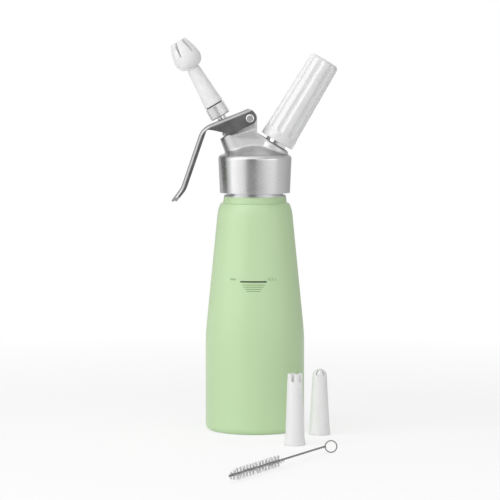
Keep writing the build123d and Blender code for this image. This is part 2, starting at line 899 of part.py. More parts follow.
with BuildPart() as lever:
    add(channel(0, lever_bend))
    add(channel(lever_sheet, lever_bend - lever_sheet), mode=Mode.SUBTRACT)
    with BuildSketch(Plane.XZ) as lever_side:
        rear_top = web_place(-lever_rear, -lever_lap)
        rear_bottom = web_place(-lever_rear, flange_depth - lever_lap)
        flange_low = web_place(flange_reach, flange_depth)
        flange_arch = web_place(arch_reach, arch_depth)
        inner_bend = under(web_corner, handle_depth, handle_slope)
        inner_flare = under(handle_end, handle_depth, (handle_slope + flare_slope) / 2)
        inner_tip = under(lever_tip, tip_depth, flare_slope)
        with BuildLine():
            Polyline(
                *flat(
                    rear_top,
                    web_place(handle_reach + 2 * web_back, -lever_lap),
                    under(lever_tip, -2 * web_back, flare_slope),
                    inner_tip,
                    inner_flare,
                    inner_bend,
                    flange_arch,
                    flange_low,
                    rear_bottom,
                ),
                close=True,
            )
        make_face()
        for corner, radius in (
            (rear_top, lever_end_top_r),
            (rear_bottom, lever_end_r),
            (flange_low, flange_round),
            (flange_arch, handle_bend),
            (inner_bend, handle_round),
            (inner_flare, flare_bend),
            (inner_tip, flange_round),
        ):
            round_corner(lever_side, flat(corner)[0], radius)
    extrude(amount=2 * lever_half, both=True, mode=Mode.INTERSECT)

    tip_plane = Plane(
        origin=lever_tip,
        x_dir=handle_end - lever_tip,
        z_dir=Vector(0, 0, 1).rotate(Axis.Y, -flare_slope),
    )
    with BuildSketch(tip_plane) as tip_plan:
        with Locations((handle_drop, 0)):
            Rectangle(2 * handle_drop, 2 * lever_half)
        round_corner(tip_plan, (0, lever_half), tip_round)
        round_corner(tip_plan, (0, -lever_half), tip_round)
    extrude(amount=2 * handle_drop, both=True, mode=Mode.INTERSECT)

    web_dir = Vector(-1, 0, 0).rotate(Axis.Y, -web_slope)
    pivot_offset = (pivot_point - nozzle_plane.origin).dot(nozzle_plane.x_dir)
    stem_reach = -pivot_offset / web_dir.dot(nozzle_plane.x_dir)
    slot_plane = Plane(
        origin=web_place(stem_reach, 0),
        x_dir=web_dir,
        z_dir=Vector(0, 0, 1).rotate(Axis.Y, -web_slope),
    )
    with BuildSketch(slot_plane):
        SlotOverall(stem_slot_length, stem_slot_width)
    extrude(amount=2 * lever_sheet, both=True, mode=Mode.SUBTRACT)
    with Locations(Location((pivot_x, 0, pivot_z), (90, 0, 0))):
        Cylinder(pivot_r + running_fit, 4 * lever_half, mode=Mode.SUBTRACT)
finish(lever, "lever")

head_face_y = lever_half + seat_gap
with BuildPart() as pivot_screw:
    with BuildSketch(Plane.XZ.offset(head_face_y)):
        with Locations((pivot_x, pivot_z)):
            Circle(pivot_head_r)
    extrude(amount=pivot_head_height)
    fillet(pivot_screw.edges().group_by(Axis.Y)[0], radius=pivot_head_round)
    with BuildSketch(Plane.XZ.offset(head_face_y)):
        with Locations((pivot_x, pivot_z)):
            Circle(pivot_r)
    extrude(amount=-2 * head_face_y - pivot_nut_height)
    with BuildSketch(Plane.XZ.offset(head_face_y + pivot_head_height)):
        with Locations((pivot_x, pivot_z)):
            RegularPolygon(pivot_socket_r, 6)
    extrude(amount=-pivot_socket_depth, mode=Mode.SUBTRACT)
finish(pivot_screw, "pivot_screw")

with BuildPart() as pivot_nut:
    with BuildSketch(Plane.XZ.offset(-head_face_y)):
        with Locations((pivot_x, pivot_z)):
            RegularPolygon(pivot_head_r, 6, major_radius=False)
            Circle(pivot_r + press_gap, mode=Mode.SUBTRACT)
    extrude(amount=-pivot_nut_height)
finish(pivot_nut, "pivot_nut")

# ================================================================== decorating tips
def wedge(plane, width_low, width_high, low, high, reach):
    """A cutter for one slot of a tip: it points along the plane's x and widens upwards."""
    with BuildPart(mode=Mode.PRIVATE) as cutter:
        with BuildSketch(section_of(plane)):
            with BuildLine():
                Polyline(
                    (-width_low / 2, low),
                    (width_low / 2, low),
                    (width_high / 2, high),
                    (-width_high / 2, high),
                    close=True,
                )
            make_face()
            with Locations((0, low)):
                Circle(width_low / 2)
        extrude(amount=reach)
    return cutter.part


tip_bore_r = spigot_r + air_gap

with BuildPart() as tulip_tip:
    waist_s = tip_s + tulip_waist
    outside = [(radius, waist_s + height) for radius, height in tulip_outside]
    hollow = [(radius, waist_s + height) for radius, height in tulip_hollow]
    mouth_s = outside[-1][1]
    with BuildSketch(section_of(nozzle_plane)):
        with BuildLine():
            Polyline(
                (tip_bore_r, tip_s),
                (tulip_base_r - tip_lip_bevel, tip_s),
                (tulip_base_r, tip_s + tip_lip_bevel),
                (tulip_base_r - tip_lip_step, tip_s + tip_lip_height),
                (tulip_waist_r, waist_s),
                (tulip_waist_r - tulip_neck_step, waist_s + tulip_neck_step),
                outside[0],
            )
            Spline(*outside)
            Line(outside[-1], hollow[-1])
            Spline(*reversed(hollow))
            Polyline(
                hollow[0],
                (tulip_throat_r, waist_s),
                (tip_bore_r - tip_bore_step, tip_s + tip_socket + tip_bore_cone),
                (tip_bore_r, tip_s + tip_socket),
                (tip_bore_r, tip_s),
            )
        make_face()
    revolve(axis=nozzle_axis)
    tulip_slot = wedge(
        nozzle_plane,
        tulip_slot_low,
        tulip_slot_high,
        mouth_s - tulip_slot_depth,
        mouth_s + 1,
        3 * tulip_base_r,
    )
    cut_round(tulip_slot, nozzle_axis, tip_slots, tulip_slot_turn)
finish(tulip_tip, "tulip_tip")

with BuildPart() as straight_tip:
    straight_plane = Plane(origin=(straight_tip_x, straight_tip_y, 0))
    turned(
        [
            (tip_bore_r, 0),
            (straight_tip_lip_r, 0),
            (straight_tip_lip_r, straight_lip_height),
            (straight_tip_r + straight_foot_step, tip_lip_height),
            (straight_tip_r, straight_foot_height),
            (straight_tip_top_r, straight_tip_height),
            (straight_tip_top_r - tip_wall, straight_tip_height),
            (straight_tip_top_r - tip_wall, tip_socket + tip_bore_cone),
            (tip_bore_r, tip_socket),
        ],
        straight_plane,
    )
    straight_slot = wedge(
        straight_plane,
        straight_slot_low,
        straight_slot_high,
        straight_tip_height - straight_slot_depth,
        straight_tip_height + 1,
        2 * straight_tip_r,
    )
    straight_axis = Axis(straight_plane.origin, straight_plane.z_dir)
    cut_round(straight_slot, straight_axis, tip_slots, straight_slot_turn)
finish(straight_tip, "straight_tip")

with BuildPart() as star_tip:
    star_plane = Plane(origin=(star_tip_x, star_tip_y, 0))
    star_shoulder = star_tip_height - star_tip_dome
    with BuildSketch(section_of(star_plane)):
        with BuildLine():
            Polyline(
                (tip_bore_r, 0),
                (star_tip_base_r, 0),
                (star_tip_base_r, straight_lip_height),
                (star_tip_base_r - tip_lip_step, tip_lip_height),
                (star_tip_shoulder_r, star_shoulder),
            )
            outer_mid = cap_mid(star_tip_shoulder_r, star_shoulder, star_tip_dome)
            ThreePointArc((star_tip_shoulder_r, star_shoulder), outer_mid, (0, star_tip_height))
            inner_r = star_tip_shoulder_r - tip_wall
            inner_rise = star_tip_dome - tip_wall
            Line((0, star_tip_height), (0, star_shoulder + inner_rise))
            inner_mid = cap_mid(inner_r, star_shoulder, inner_rise)
            ThreePointArc((0, star_shoulder + inner_rise), inner_mid, (inner_r, star_shoulder))
            Polyline(
                (inner_r, star_shoulder),
                (tip_bore_r - tip_lip_step, tip_socket + tip_bore_cone),
                (tip_bore_r, tip_socket),
                (tip_bore_r, 0),
            )
        make_face()
    star_axis = Axis(star_plane.origin, star_plane.z_dir)
    revolve(axis=star_axis)
    star_slit = wedge(
        Plane(origin=star_plane.origin + star_plane.x_dir * star_hub_r),
        star_slit_width,
        star_slit_width,
        star_shoulder - star_slit_width / 2,
        star_tip_height + 1,
        2 * star_tip_base_r,
    )
    cut_round(star_slit, star_axis, tip_slots, star_slit_turn)
finish(star_tip, "star_tip")

# ================================================================== cleaning brush
brush_heading_dir = Vector(1, 0, 0).rotate(Axis.Z, brush_heading)
brush_plane = Plane(origin=(brush_x, brush_y, brush_axis_z), z_dir=brush_heading_dir)

with BuildPart() as brush_wire:
    twist_end = brush_length - 2 * loop_r + loop_wire_r
    turned([(0, 0), (brush_twist_r, 0), (brush_twist_r, twist_end), (0, twist_end)], brush_plane)
    loop_start = brush_plane.origin + brush_heading_dir * twist_end
    loop_centre = loop_start + Vector(loop_r - loop_wire_r, 0, 0)
    with Locations(Location(loop_centre, (90, 0, 0))):
        Torus(loop_r - loop_wire_r, loop_wire_r)
finish(brush_wire, "brush_wire")

with BuildPart() as brush_bristles:
    turned(
        [
            (brush_twist_r + press_gap, bristle_start),
            (bristle_end_r, bristle_start),
            (bristle_r, bristle_start + bristle_foot),
            (bristle_r, bristle_length - bristle_tip),
            (bristle_end_r, bristle_length),
            (brush_twist_r + press_gap, bristle_length),
        ],
        brush_plane,
    )
finish(brush_bristles, "brush_bristles")
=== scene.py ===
# %% [markdown]
# # A cream whipper in its studio
# The solids of the whipper come from a CAD model that is already in its right place and
# size. This file gives each solid its finish, adds the fine detail that the solids leave
# out, stands in for four solids that need a richer shape, and builds the floor, the lamps
# and the camera. Everything is in metres: the bottle stands on the origin, +Z is up, and
# the fill mark faces -Y.

import math

import bmesh
import bpy
from mathutils import Matrix, Vector


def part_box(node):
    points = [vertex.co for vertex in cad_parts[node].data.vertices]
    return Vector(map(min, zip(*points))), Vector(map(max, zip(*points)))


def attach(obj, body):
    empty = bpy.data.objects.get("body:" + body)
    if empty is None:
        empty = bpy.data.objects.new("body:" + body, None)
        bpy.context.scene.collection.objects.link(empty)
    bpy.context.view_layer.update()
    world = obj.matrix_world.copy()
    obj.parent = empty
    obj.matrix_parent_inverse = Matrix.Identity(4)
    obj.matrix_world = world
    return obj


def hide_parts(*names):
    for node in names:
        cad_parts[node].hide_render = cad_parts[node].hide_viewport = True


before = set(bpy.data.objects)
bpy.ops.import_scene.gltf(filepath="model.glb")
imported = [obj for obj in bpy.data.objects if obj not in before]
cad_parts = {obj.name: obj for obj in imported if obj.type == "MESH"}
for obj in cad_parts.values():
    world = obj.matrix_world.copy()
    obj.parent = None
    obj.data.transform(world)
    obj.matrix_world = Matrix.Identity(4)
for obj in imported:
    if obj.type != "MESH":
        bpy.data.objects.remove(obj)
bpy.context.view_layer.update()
MM = 0.001

# %% [markdown]
# ## Helpers for shader nodes
# Every finish here is a small tree of shader nodes, and so are the floor and the world.
# A few helpers make a node, feed its sockets and carry a value from one pair of limits to
# another. They work on anything that owns a node tree.

# %% Helpers for shader nodes
def add_node(owner, kind, **settings):
    """A node of the owner's tree, with its plain settings given by keyword."""
    node = owner.node_tree.nodes.new(kind)
    for key, value in settings.items():
        setattr(node, key, value)
    return node


def feed(owner, source, socket):
    """Link a source to a socket, or set the socket's constant if it is a number."""
    if isinstance(source, (int, float)):
        socket.default_value = source
    else:
        owner.node_tree.links.new(source, socket)


def map_range(owner, value, from_low, from_high, to_low=0.0, to_high=1.0):
    """The value, carried from one pair of limits to another and held at both ends."""
    node = add_node(owner, "ShaderNodeMapRange")
    feed(owner, value, node.inputs["Value"])
    limits = {"From Min": from_low, "From Max": from_high, "To Min": to_low, "To Max": to_high}
    for socket, limit in limits.items():
        feed(owner, limit, node.inputs[socket])
    return node.outputs["Result"]


def mix_values(owner, factor, first, second):
    """The first value where the factor is 0 and the second where it is 1."""
    node = add_node(owner, "ShaderNodeMix", data_type="FLOAT")
    for socket, source in (("Factor", factor), ("A", first), ("B", second)):
        feed(owner, source, node.inputs[socket])
    return node.outputs["Result"]


print("helpers for shader nodes are ready")

# %% [markdown]
# ## Helpers for finishes
# Most finishes start the same way: one Principled shader whose constants are set on its
# own sockets. A real surface is never quite even, so noise then varies its colour, its
# gloss and its height by a little. Noise rarely leaves the middle of its range, so that
# middle is what gets stretched between the two limits of a finish.

# %% Helpers for finishes
noise_low, noise_high = 0.3, 0.7
grain_height = 0.03 * MM


def new_finish(name, color, metallic=0.0, roughness=0.5, **sockets):
    """A material with one Principled shader; other sockets are named by keyword."""
    finish = bpy.data.materials.new(name)
    finish.use_nodes = True
    shader = finish.node_tree.nodes["Principled BSDF"]
    shader.inputs["Base Color"].default_value = (*color, 1.0)
    shader.inputs["Metallic"].default_value = metallic
    shader.inputs["Roughness"].default_value = roughness
    for socket, value in sockets.items():
        shader.inputs[socket.replace("_", " ")].default_value = value
    return finish, shader


def piece_coords(finish, scale=(1, 1, 1), turn=(0, 0, 0)):
    """Object coordinates, turned and scaled for one pattern."""
    coords = add_node(finish, "ShaderNodeTexCoord")
    mapping = add_node(finish, "ShaderNodeMapping")
    mapping.inputs["Rotation"].default_value = turn
    mapping.inputs["Scale"].default_value = scale
    feed(finish, coords.outputs["Object"], mapping.inputs["Vector"])
    return mapping.outputs["Vector"]


def noise(finish, coords, size, detail=2.0):
    """Noise whose grains are about one size, in metres."""
    texture = add_node(finish, "ShaderNodeTexNoise")
    texture.inputs["Scale"].default_value = 1.0 / size
    texture.inputs["Detail"].default_value = detail
    feed(finish, coords, texture.inputs["Vector"])
    return texture.outputs["Fac"]


def spread(finish, value, low, high):
    """Noise, stretched between two limits."""
    return map_range(finish, value, noise_low, noise_high, low, high)


def bump(finish, shader, height, strength, depth=grain_height, onto=None):
    """Raise the shader's normal by a height pattern that is this many metres deep."""
    node = add_node(finish, "ShaderNodeBump")
    node.inputs["Strength"].default_value = strength
    node.inputs["Distance"].default_value = depth
    feed(finish, height, node.inputs["Height"])
    if onto is not None:
        feed(finish, onto, node.inputs["Normal"])
    feed(finish, node.outputs["Normal"], shader.inputs["Normal"])


def shade(color, factor):
    return tuple(c * factor for c in color)


def tint(finish, shader, value, color, dark, light):
    """Vary the colour between a darker and a lighter shade of itself."""
    ramp = add_node(finish, "ShaderNodeValToRGB")
    stops = zip(ramp.color_ramp.elements, (noise_low, noise_high), (dark, light))
    for stop, position, factor in stops:
        stop.position = position
        stop.color = (*shade(color, factor), 1)
    feed(finish, value, ramp.inputs["Fac"])
    feed(finish, ramp.outputs["Color"], shader.inputs["Base Color"])


print("helpers for finishes are ready")

# %% [markdown]
# ## The green coat
# The bottle is aluminium under a baked lacquer. Such a lacquer is smooth but not a mirror:
# it has a very shallow orange peel, and its gloss is soft. A low coat over a rougher base
# gives the broad soft light band that a satin lacquer shows.

# %% The green coat
green = (0.515, 0.694, 0.402)
coat_green, shader = new_finish(
    "coat_green", green, roughness=0.42, Coat_Weight=0.25, Coat_Roughness=0.25
)
peel = noise(coat_green, piece_coords(coat_green), 0.9 * MM)
cloud = noise(coat_green, piece_coords(coat_green), 60 * MM, detail=1.0)
tint(coat_green, shader, cloud, green, dark=0.985, light=1.015)
bump(coat_green, shader, peel, strength=0.12)
feed(coat_green, spread(coat_green, cloud, 0.40, 0.45), shader.inputs["Roughness"])
print(coat_green.name)

# %% [markdown]
# ## The head's metal
# The head is one aluminium casting. Its collar is turned on a lathe, which leaves fine
# rings, and the rest is blasted with beads, which leaves a fine even grain. One material
# shows both: a height along Z picks the rings below the collar's top edge and the grain
# above it. A cast corner is also softer than a turned one. A Bevel node rounds the way
# that corners catch the light, more on the casting than on the collar.

# %% The head's metal
collar_top, blend = 221.0 * MM, 0.4 * MM
collar_gloss, casting_gloss = (0.25, 0.30), (0.40, 0.46)
collar_softness, casting_softness = 0.5 * MM, 3.2 * MM
head_metal, shader = new_finish("head_metal", (0.54, 0.54, 0.545), metallic=1.0, roughness=0.3)
coords = piece_coords(head_metal)
lathe_lines = noise(
    head_metal, piece_coords(head_metal, scale=(0.02, 0.02, 1)), 0.22 * MM, detail=4.0
)
beads = noise(head_metal, coords, 0.6 * MM, detail=3.0)
patches = noise(head_metal, coords, 12 * MM)
split = add_node(head_metal, "ShaderNodeSeparateXYZ")
feed(head_metal, coords, split.inputs["Vector"])
above = map_range(head_metal, split.outputs["Z"], collar_top - blend, collar_top + blend)
corners = add_node(head_metal, "ShaderNodeBevel", samples=12)
softness = map_range(head_metal, above, 0.0, 1.0, collar_softness, casting_softness)
feed(head_metal, softness, corners.inputs["Radius"])
relief = mix_values(head_metal, above, lathe_lines, beads)
bump(head_metal, shader, relief, 0.15, 0.04 * MM, onto=corners.outputs["Normal"])
turned = spread(head_metal, patches, *collar_gloss)
blasted = spread(head_metal, patches, *casting_gloss)
feed(head_metal, mix_values(head_metal, above, turned, blasted), shader.inputs["Roughness"])
print(head_metal.name)

# %% [markdown]
# ## Turned, drawn and plated metal
# The smaller metal pieces are turned bars, pressed sheet, drawn wire or plated shells.
# They differ in colour, in gloss, and in the direction of their fine lines, so one
# function makes them all from those three facts. The nozzle and the charger lean, and the
# rings of their pieces lean with them.

# %% Turned, drawn and plated metal
def metal_finish(name, color, lines, gloss, strength, turn=(0, 0, 0), line_size=0.2 * MM):
    """A metal with fine lines; a scale below 1 along an axis draws the lines out there."""
    finish, shader = new_finish(name, color, metallic=1.0, roughness=gloss)
    pattern = noise(finish, piece_coords(finish, lines, turn), line_size, detail=3.0)
    patches = noise(finish, piece_coords(finish), 10 * MM, detail=1.0)
    tint(finish, shader, patches, color, dark=0.96, light=1.04)
    bump(finish, shader, pattern, strength)
    feed(finish, spread(finish, patches, gloss * 0.9, gloss * 1.15), shader.inputs["Roughness"])
    return finish


nozzle_lean, charger_lean = math.radians(-30), math.radians(31)
on_nozzle, on_charger = (0, -nozzle_lean, 0), (0, -charger_lean, 0)
rings, drawn = (0.03, 0.03, 1), (0.5, 0.5, 0.5)
bright_steel, brass = (0.66, 0.66, 0.67), (0.72, 0.55, 0.25)
neck_metal = metal_finish("neck_metal", (0.5, 0.5, 0.505), rings, 0.3, 0.2)
lever_steel = metal_finish("lever_steel", (0.33, 0.33, 0.335), (0.04, 0.5, 0.04), 0.22, 0.1)
screw_steel = metal_finish("screw_steel", (0.8, 0.8, 0.8), drawn, 0.26, 0.05, line_size=0.3 * MM)
valve_steel = metal_finish("valve_steel", bright_steel, rings, 0.2, 0.15, on_nozzle)
nipple_steel = metal_finish("nipple_steel", bright_steel, rings, 0.2, 0.15, on_charger)
spring_steel = metal_finish("spring_steel", (0.5, 0.5, 0.5), (0.3, 0.3, 0.3), 0.25, 0.1)
adapter_metal = metal_finish("adapter_metal", (0.72, 0.72, 0.725), rings, 0.36, 0.12, on_nozzle)
valve_brass = metal_finish("valve_brass", brass, rings, 0.25, 0.15, on_nozzle)
pin_brass = metal_finish("pin_brass", brass, rings, 0.25, 0.15, on_charger)
charger_steel = metal_finish(
    "charger_steel", (0.6, 0.6, 0.62), (1, 1, 1), 0.22, 0.08, on_charger, line_size=0.6 * MM
)
brush_steel = metal_finish(
    "brush_steel", (0.22, 0.22, 0.22), drawn, 0.3, 0.1, line_size=0.3 * MM
)
print("finishes so far:", [m.name for m in bpy.data.materials if m.use_nodes])

# %% [markdown]
# ## Plastic and rubber
# The tips and the charger's holder are moulded in white plastic, which light enters a
# little before it comes back. A small subsurface weight gives that softness. The holder
# is polished and the tips are satin. The seals are rubber, dark or milky, and dull.

# %% Plastic and rubber
def moulded_finish(name, color, gloss, grain_size, strength, **sockets):
    """A moulded plastic or rubber with a fine grain and a slightly uneven gloss."""
    finish, shader = new_finish(name, color, roughness=gloss, **sockets)
    grain = noise(finish, piece_coords(finish), grain_size)
    patches = noise(finish, piece_coords(finish), 15 * MM, detail=1.0)
    tint(finish, shader, patches, color, dark=0.985, light=1.0)
    bump(finish, shader, grain, strength)
    feed(finish, spread(finish, patches, gloss * 0.92, gloss * 1.1), shader.inputs["Roughness"])
    return finish


def skin(weight, scale):
    """The sockets that let light a few millimetres into a white plastic."""
    reach = (4 * MM, 4 * MM, 4 * MM)
    return {"Subsurface_Weight": weight, "Subsurface_Radius": reach, "Subsurface_Scale": scale}


polish = {"Coat_Weight": 0.4, "Coat_Roughness": 0.08}
holder_plastic = moulded_finish(
    "holder_plastic", (0.78, 0.78, 0.785), 0.16, 2 * MM, 0.05, **polish, **skin(0.08, 0.5)
)
tip_plastic = moulded_finish(
    "tip_plastic", (0.84, 0.84, 0.84), 0.38, 0.8 * MM, 0.1, **skin(0.5, 1.0)
)
black_rubber = moulded_finish("black_rubber", (0.022, 0.022, 0.022), 0.6, 0.4 * MM, 0.2)
silicone = moulded_finish("silicone", (0.72, 0.72, 0.70), 0.5, 0.6 * MM, 0.15)
nylon = moulded_finish("nylon", (0.46, 0.46, 0.46), 0.4, 0.4 * MM, 0.1)
print("finishes so far:", len([m for m in bpy.data.materials if m.use_nodes]))

# %% [markdown]
# ## Dress the solids
# Each CAD solid keeps its shape and takes one finish. A table says which.

# %% Dress the solids
finishes = {
    "bottle_shell": coat_green,
    "threaded_neck": neck_metal,
    "head_gasket": silicone,
    "head_body": head_metal,
    "valve_gland_nut": valve_steel,
    "stem_oring": black_rubber,
    "pivot_screw": screw_steel,
    "pivot_nut": screw_steel,
    "charger_nipple": nipple_steel,
    "piercer": pin_brass,
    "check_sleeve": black_rubber,
    "charger_seal": black_rubber,
    "valve_spring": spring_steel,
    "lever": lever_steel,
    "valve_stem": valve_steel,
    "valve_seal": black_rubber,
    "seal_retainer": valve_brass,
    "stem_pad": valve_steel,
    "nozzle_adapter": adapter_metal,
    "tip_gasket": black_rubber,
    "tulip_tip": tip_plastic,
    "gas_charger": charger_steel,
    "charger_holder": holder_plastic,
    "holder_pad": black_rubber,
    "straight_tip": tip_plastic,
    "star_tip": tip_plastic,
    "brush_wire": brush_steel,
    "brush_bristles": nylon,
}
for node_name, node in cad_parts.items():
    node.data.materials.clear()
    node.data.materials.append(finishes[node_name])
print("dressed:", len(finishes))

# %% [markdown]
# ## Places on the leaning axes
# The nozzle leans to -X and the charger leans to +X. A piece that belongs to either is
# built upright about its own Z axis, and one matrix then carries it onto its axis. Each
# axis starts on the bottle's own axis, and the height of its foot and its lean are the
# same numbers that the solids were made with.

# %% Places on the leaning axes
def leaning(foot_height, lean):
    """The matrix from an upright piece to an axis that starts here and leans to +X."""
    return Matrix.Translation((0, 0, foot_height)) @ Matrix.Rotation(lean, 4, "Y")


def span_along(node_name, place):
    """The lowest and highest height of a CAD node along an axis."""
    back = place.inverted()
    heights = [(back @ v.co).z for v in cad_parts[node_name].data.vertices]
    return min(heights), max(heights)


def in_mm(values):
    return [round(v / MM, 2) for v in values]


nozzle_place = leaning(206.5 * MM, nozzle_lean)
charger_place = leaning(205.0 * MM, charger_lean)
adapter_low, adapter_high = span_along("nozzle_adapter", nozzle_place)
nipple_low, nipple_high = span_along("charger_nipple", charger_place)
print("adapter", in_mm((adapter_low, adapter_high)))
print("nipple", in_mm((nipple_low, nipple_high)))

# %% [markdown]
# ## Helpers for pieces
# Every added piece is an object at the origin with its place in its mesh. Curves, letters
# and modifiers are turned into a plain mesh first. Smooth shading keeps an edge crisp
# where two faces meet at more than a given angle.

# %% Helpers for pieces
def put(name, data):
    """A new object in the scene, at the origin."""
    piece = bpy.data.objects.new(name, data)
    bpy.context.scene.collection.objects.link(piece)
    return piece


def plain_mesh(piece):
    """The mesh that a piece's modifiers, curve or letters come to."""
    bpy.context.view_layer.update()
    graph = bpy.context.evaluated_depsgraph_get()
    return bpy.data.meshes.new_from_object(piece.evaluated_get(graph))


def smooth(piece, angle):
    """Smooth shading, with edges sharper than the angle kept crisp."""
    piece.data.shade_smooth()
    piece.data.set_sharp_from_angle(angle=math.radians(angle))
    return piece


def shaped(name, corners, faces, finish, place=Matrix.Identity(4)):
    """A smooth piece from its corners and faces."""
    mesh = bpy.data.meshes.new(name)
    mesh.from_pydata(corners, [], faces)
    mesh.transform(place)
    mesh.materials.append(finish)
    return smooth(put(name, mesh), 50)


print("helpers for pieces are ready")

# %% [markdown]
# ## Helpers for Geometry Nodes
# Fine work that repeats, such as a knurl, a thread or the bristles, is made by small
# node trees with named sizes. The helper sets each size by the socket's identifier,
# evaluates the tree once, and keeps the result as a plain mesh, so that nothing live
# is left on the piece.

# %% Helpers for Geometry Nodes
def new_tree(name, counts, sizes):
    """A geometry tree with a named input for each count and each size."""
    tree = bpy.data.node_groups.new(name, "GeometryNodeTree")
    tree.interface.new_socket("Geometry", in_out="INPUT", socket_type="NodeSocketGeometry")
    tree.interface.new_socket("Geometry", in_out="OUTPUT", socket_type="NodeSocketGeometry")
    for kind, labels in (("Int", counts), ("Float", sizes), ("Material", ["Finish"])):
        for label in labels:
            tree.interface.new_socket(label, in_out="INPUT", socket_type="NodeSocket" + kind)
    return tree, tree.nodes.new("NodeGroupInput"), tree.nodes.new("NodeGroupOutput")


def geo(tree, kind, links_in=None, values=None, **settings):
    """A node of a geometry tree: settings, constant sockets, then links into its sockets."""
    node = tree.nodes.new(kind)
    for key, value in settings.items():
        setattr(node, key, value)
    for key, value in (values or {}).items():
        node.inputs[key].default_value = value
    for key, source in (links_in or {}).items():
        tree.links.new(source, node.inputs[key])
    return node


def maths(tree, operation, first, second=0.0):
    """One step of arithmetic; either side is a socket or a number."""
    node = tree.nodes.new("ShaderNodeMath")
    node.operation = operation
    for index, side in enumerate((first, second)):
        if isinstance(side, (int, float)):
            node.inputs[index].default_value = side
        else:
            tree.links.new(side, node.inputs[index])
    return node.outputs[0]


def close_tree(tree, group_in, group_out, geometry):
    """End a tree in Realize Instances and Set Material."""
    real = geo(tree, "GeometryNodeRealizeInstances", {0: geometry})
    dress = {0: real.outputs[0], "Material": group_in.outputs["Finish"]}
    dressed = geo(tree, "GeometryNodeSetMaterial", dress)
    tree.links.new(dressed.outputs[0], group_out.inputs[0])


def grow(name, tree, sizes, finish, place=Matrix.Identity(4)):
    """Run a tree with these sizes and keep the result as a plain mesh in its place."""
    seed = put(name, bpy.data.meshes.new(name + "_seed"))
    modifier = seed.modifiers.new("grow", "NODES")
    modifier.node_group = tree
    for item in tree.interface.items_tree:
        if item.in_out == "INPUT" and item.name in sizes:
            modifier[item.identifier] = sizes[item.name]
        if item.in_out == "INPUT" and item.name == "Finish":
            modifier[item.identifier] = finish
    mesh = plain_mesh(seed)
    seed.modifiers.clear()
    mesh.transform(place)
    mesh.name = name
    seed.data = mesh
    print(name, "triangles:", sum(len(p.vertices) - 2 for p in mesh.polygons))
    return seed


print("helpers for Geometry Nodes are ready")

# %% [markdown]
# ## The adapter's knurl
# The metal adapter under the tip is turned by hand, so its wall has a straight knurl: a
# ring of fine upright ridges. One ridge is a three-sided bar, and the tree sets copies
# of it round a circle.

# %% The adapter's knurl
def ring_of_ridges_tree():
    tree, group_in, group_out = new_tree("ring_of_ridges", ["Count"], ["Radius", "Length", "Depth"])
    size = group_in.outputs
    circle = {"Vertices": size["Count"], "Radius": size["Radius"]}
    ring = geo(tree, "GeometryNodeMeshCircle", circle)
    ridge = {"Radius": size["Depth"], "Depth": size["Length"]}
    bar = geo(tree, "GeometryNodeMeshCylinder", ridge, {"Vertices": 3})
    index = geo(tree, "GeometryNodeInputIndex")
    turn = maths(tree, "DIVIDE", math.tau, size["Count"])
    angle = maths(tree, "MULTIPLY", index.outputs[0], turn)
    upright = geo(tree, "ShaderNodeCombineXYZ", {"Z": angle})
    copies = {
        "Points": ring.outputs["Mesh"],
        "Instance": bar.outputs["Mesh"],
        "Rotation": upright.outputs[0],
    }
    ridges = geo(tree, "GeometryNodeInstanceOnPoints", copies)
    close_tree(tree, group_in, group_out, ridges.outputs["Instances"])
    return tree


knurl_middle = adapter_low + 5.2 * MM
adapter_knurl = grow(
    "adapter_knurl",
    ring_of_ridges_tree(),
    {"Count": 64, "Radius": 8.08 * MM, "Length": 8.4 * MM, "Depth": 0.34 * MM},
    adapter_metal,
    nozzle_place @ Matrix.Translation((0, 0, knurl_middle)),
)
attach(adapter_knurl, "valve")

# %% [markdown]
# ## The screw threads
# A thread is a ridge that climbs round a cylinder. A spiral curve gives its path and a
# six-sided profile gives its section, and both ends are closed flat. The necks in the CAD model are plain, so these ridges stand on them within the
# gap that the mating thread leaves free.

# %% The thread's tree
def round_section(tree, radius, sides):
    """A small circle that a curve carries along itself."""
    kind = "GeometryNodeCurvePrimitiveCircle"
    return geo(tree, kind, {"Radius": radius}, {"Resolution": sides}, mode="RADIUS")


def swept(tree, path, section):
    """A tube with closed ends, from a path and a section."""
    curves = {"Curve": path.outputs[0], "Profile Curve": section.outputs["Curve"]}
    return geo(tree, "GeometryNodeCurveToMesh", curves, {"Fill Caps": True})


def thread_tree():
    tree, group_in, group_out = new_tree("thread", [], ["Turns", "Radius", "Height", "Depth"])
    size = group_in.outputs
    spiral = {
        "Rotations": size["Turns"],
        "Start Radius": size["Radius"],
        "End Radius": size["Radius"],
        "Height": size["Height"],
    }
    path = geo(tree, "GeometryNodeCurveSpiral", spiral, {"Resolution": 48})
    ridge = swept(tree, path, round_section(tree, size["Depth"], 6))
    close_tree(tree, group_in, group_out, ridge.outputs[0])
    return tree


threads = thread_tree()
print("tree:", threads.name)

# %% [markdown]
# ## Three threads
# The same tree makes the threads of the bottle's neck, the charger's nipple and the
# adapter's spigot.
# Only the radius, the pitch, the depth and the two heights differ.

# %% Three threads
def thread(name, body, finish, radius, pitch, low, high, depth, place):
    """A thread on a neck; the spiral node turns it left-handed as it climbs."""
    turns = (high - low) / pitch
    sizes = {"Turns": turns, "Radius": radius, "Height": high - low, "Depth": depth}
    ridge = grow(name, threads, sizes, finish, place @ Matrix.Translation((0, 0, low)))
    smooth(ridge, 50)
    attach(ridge, body)


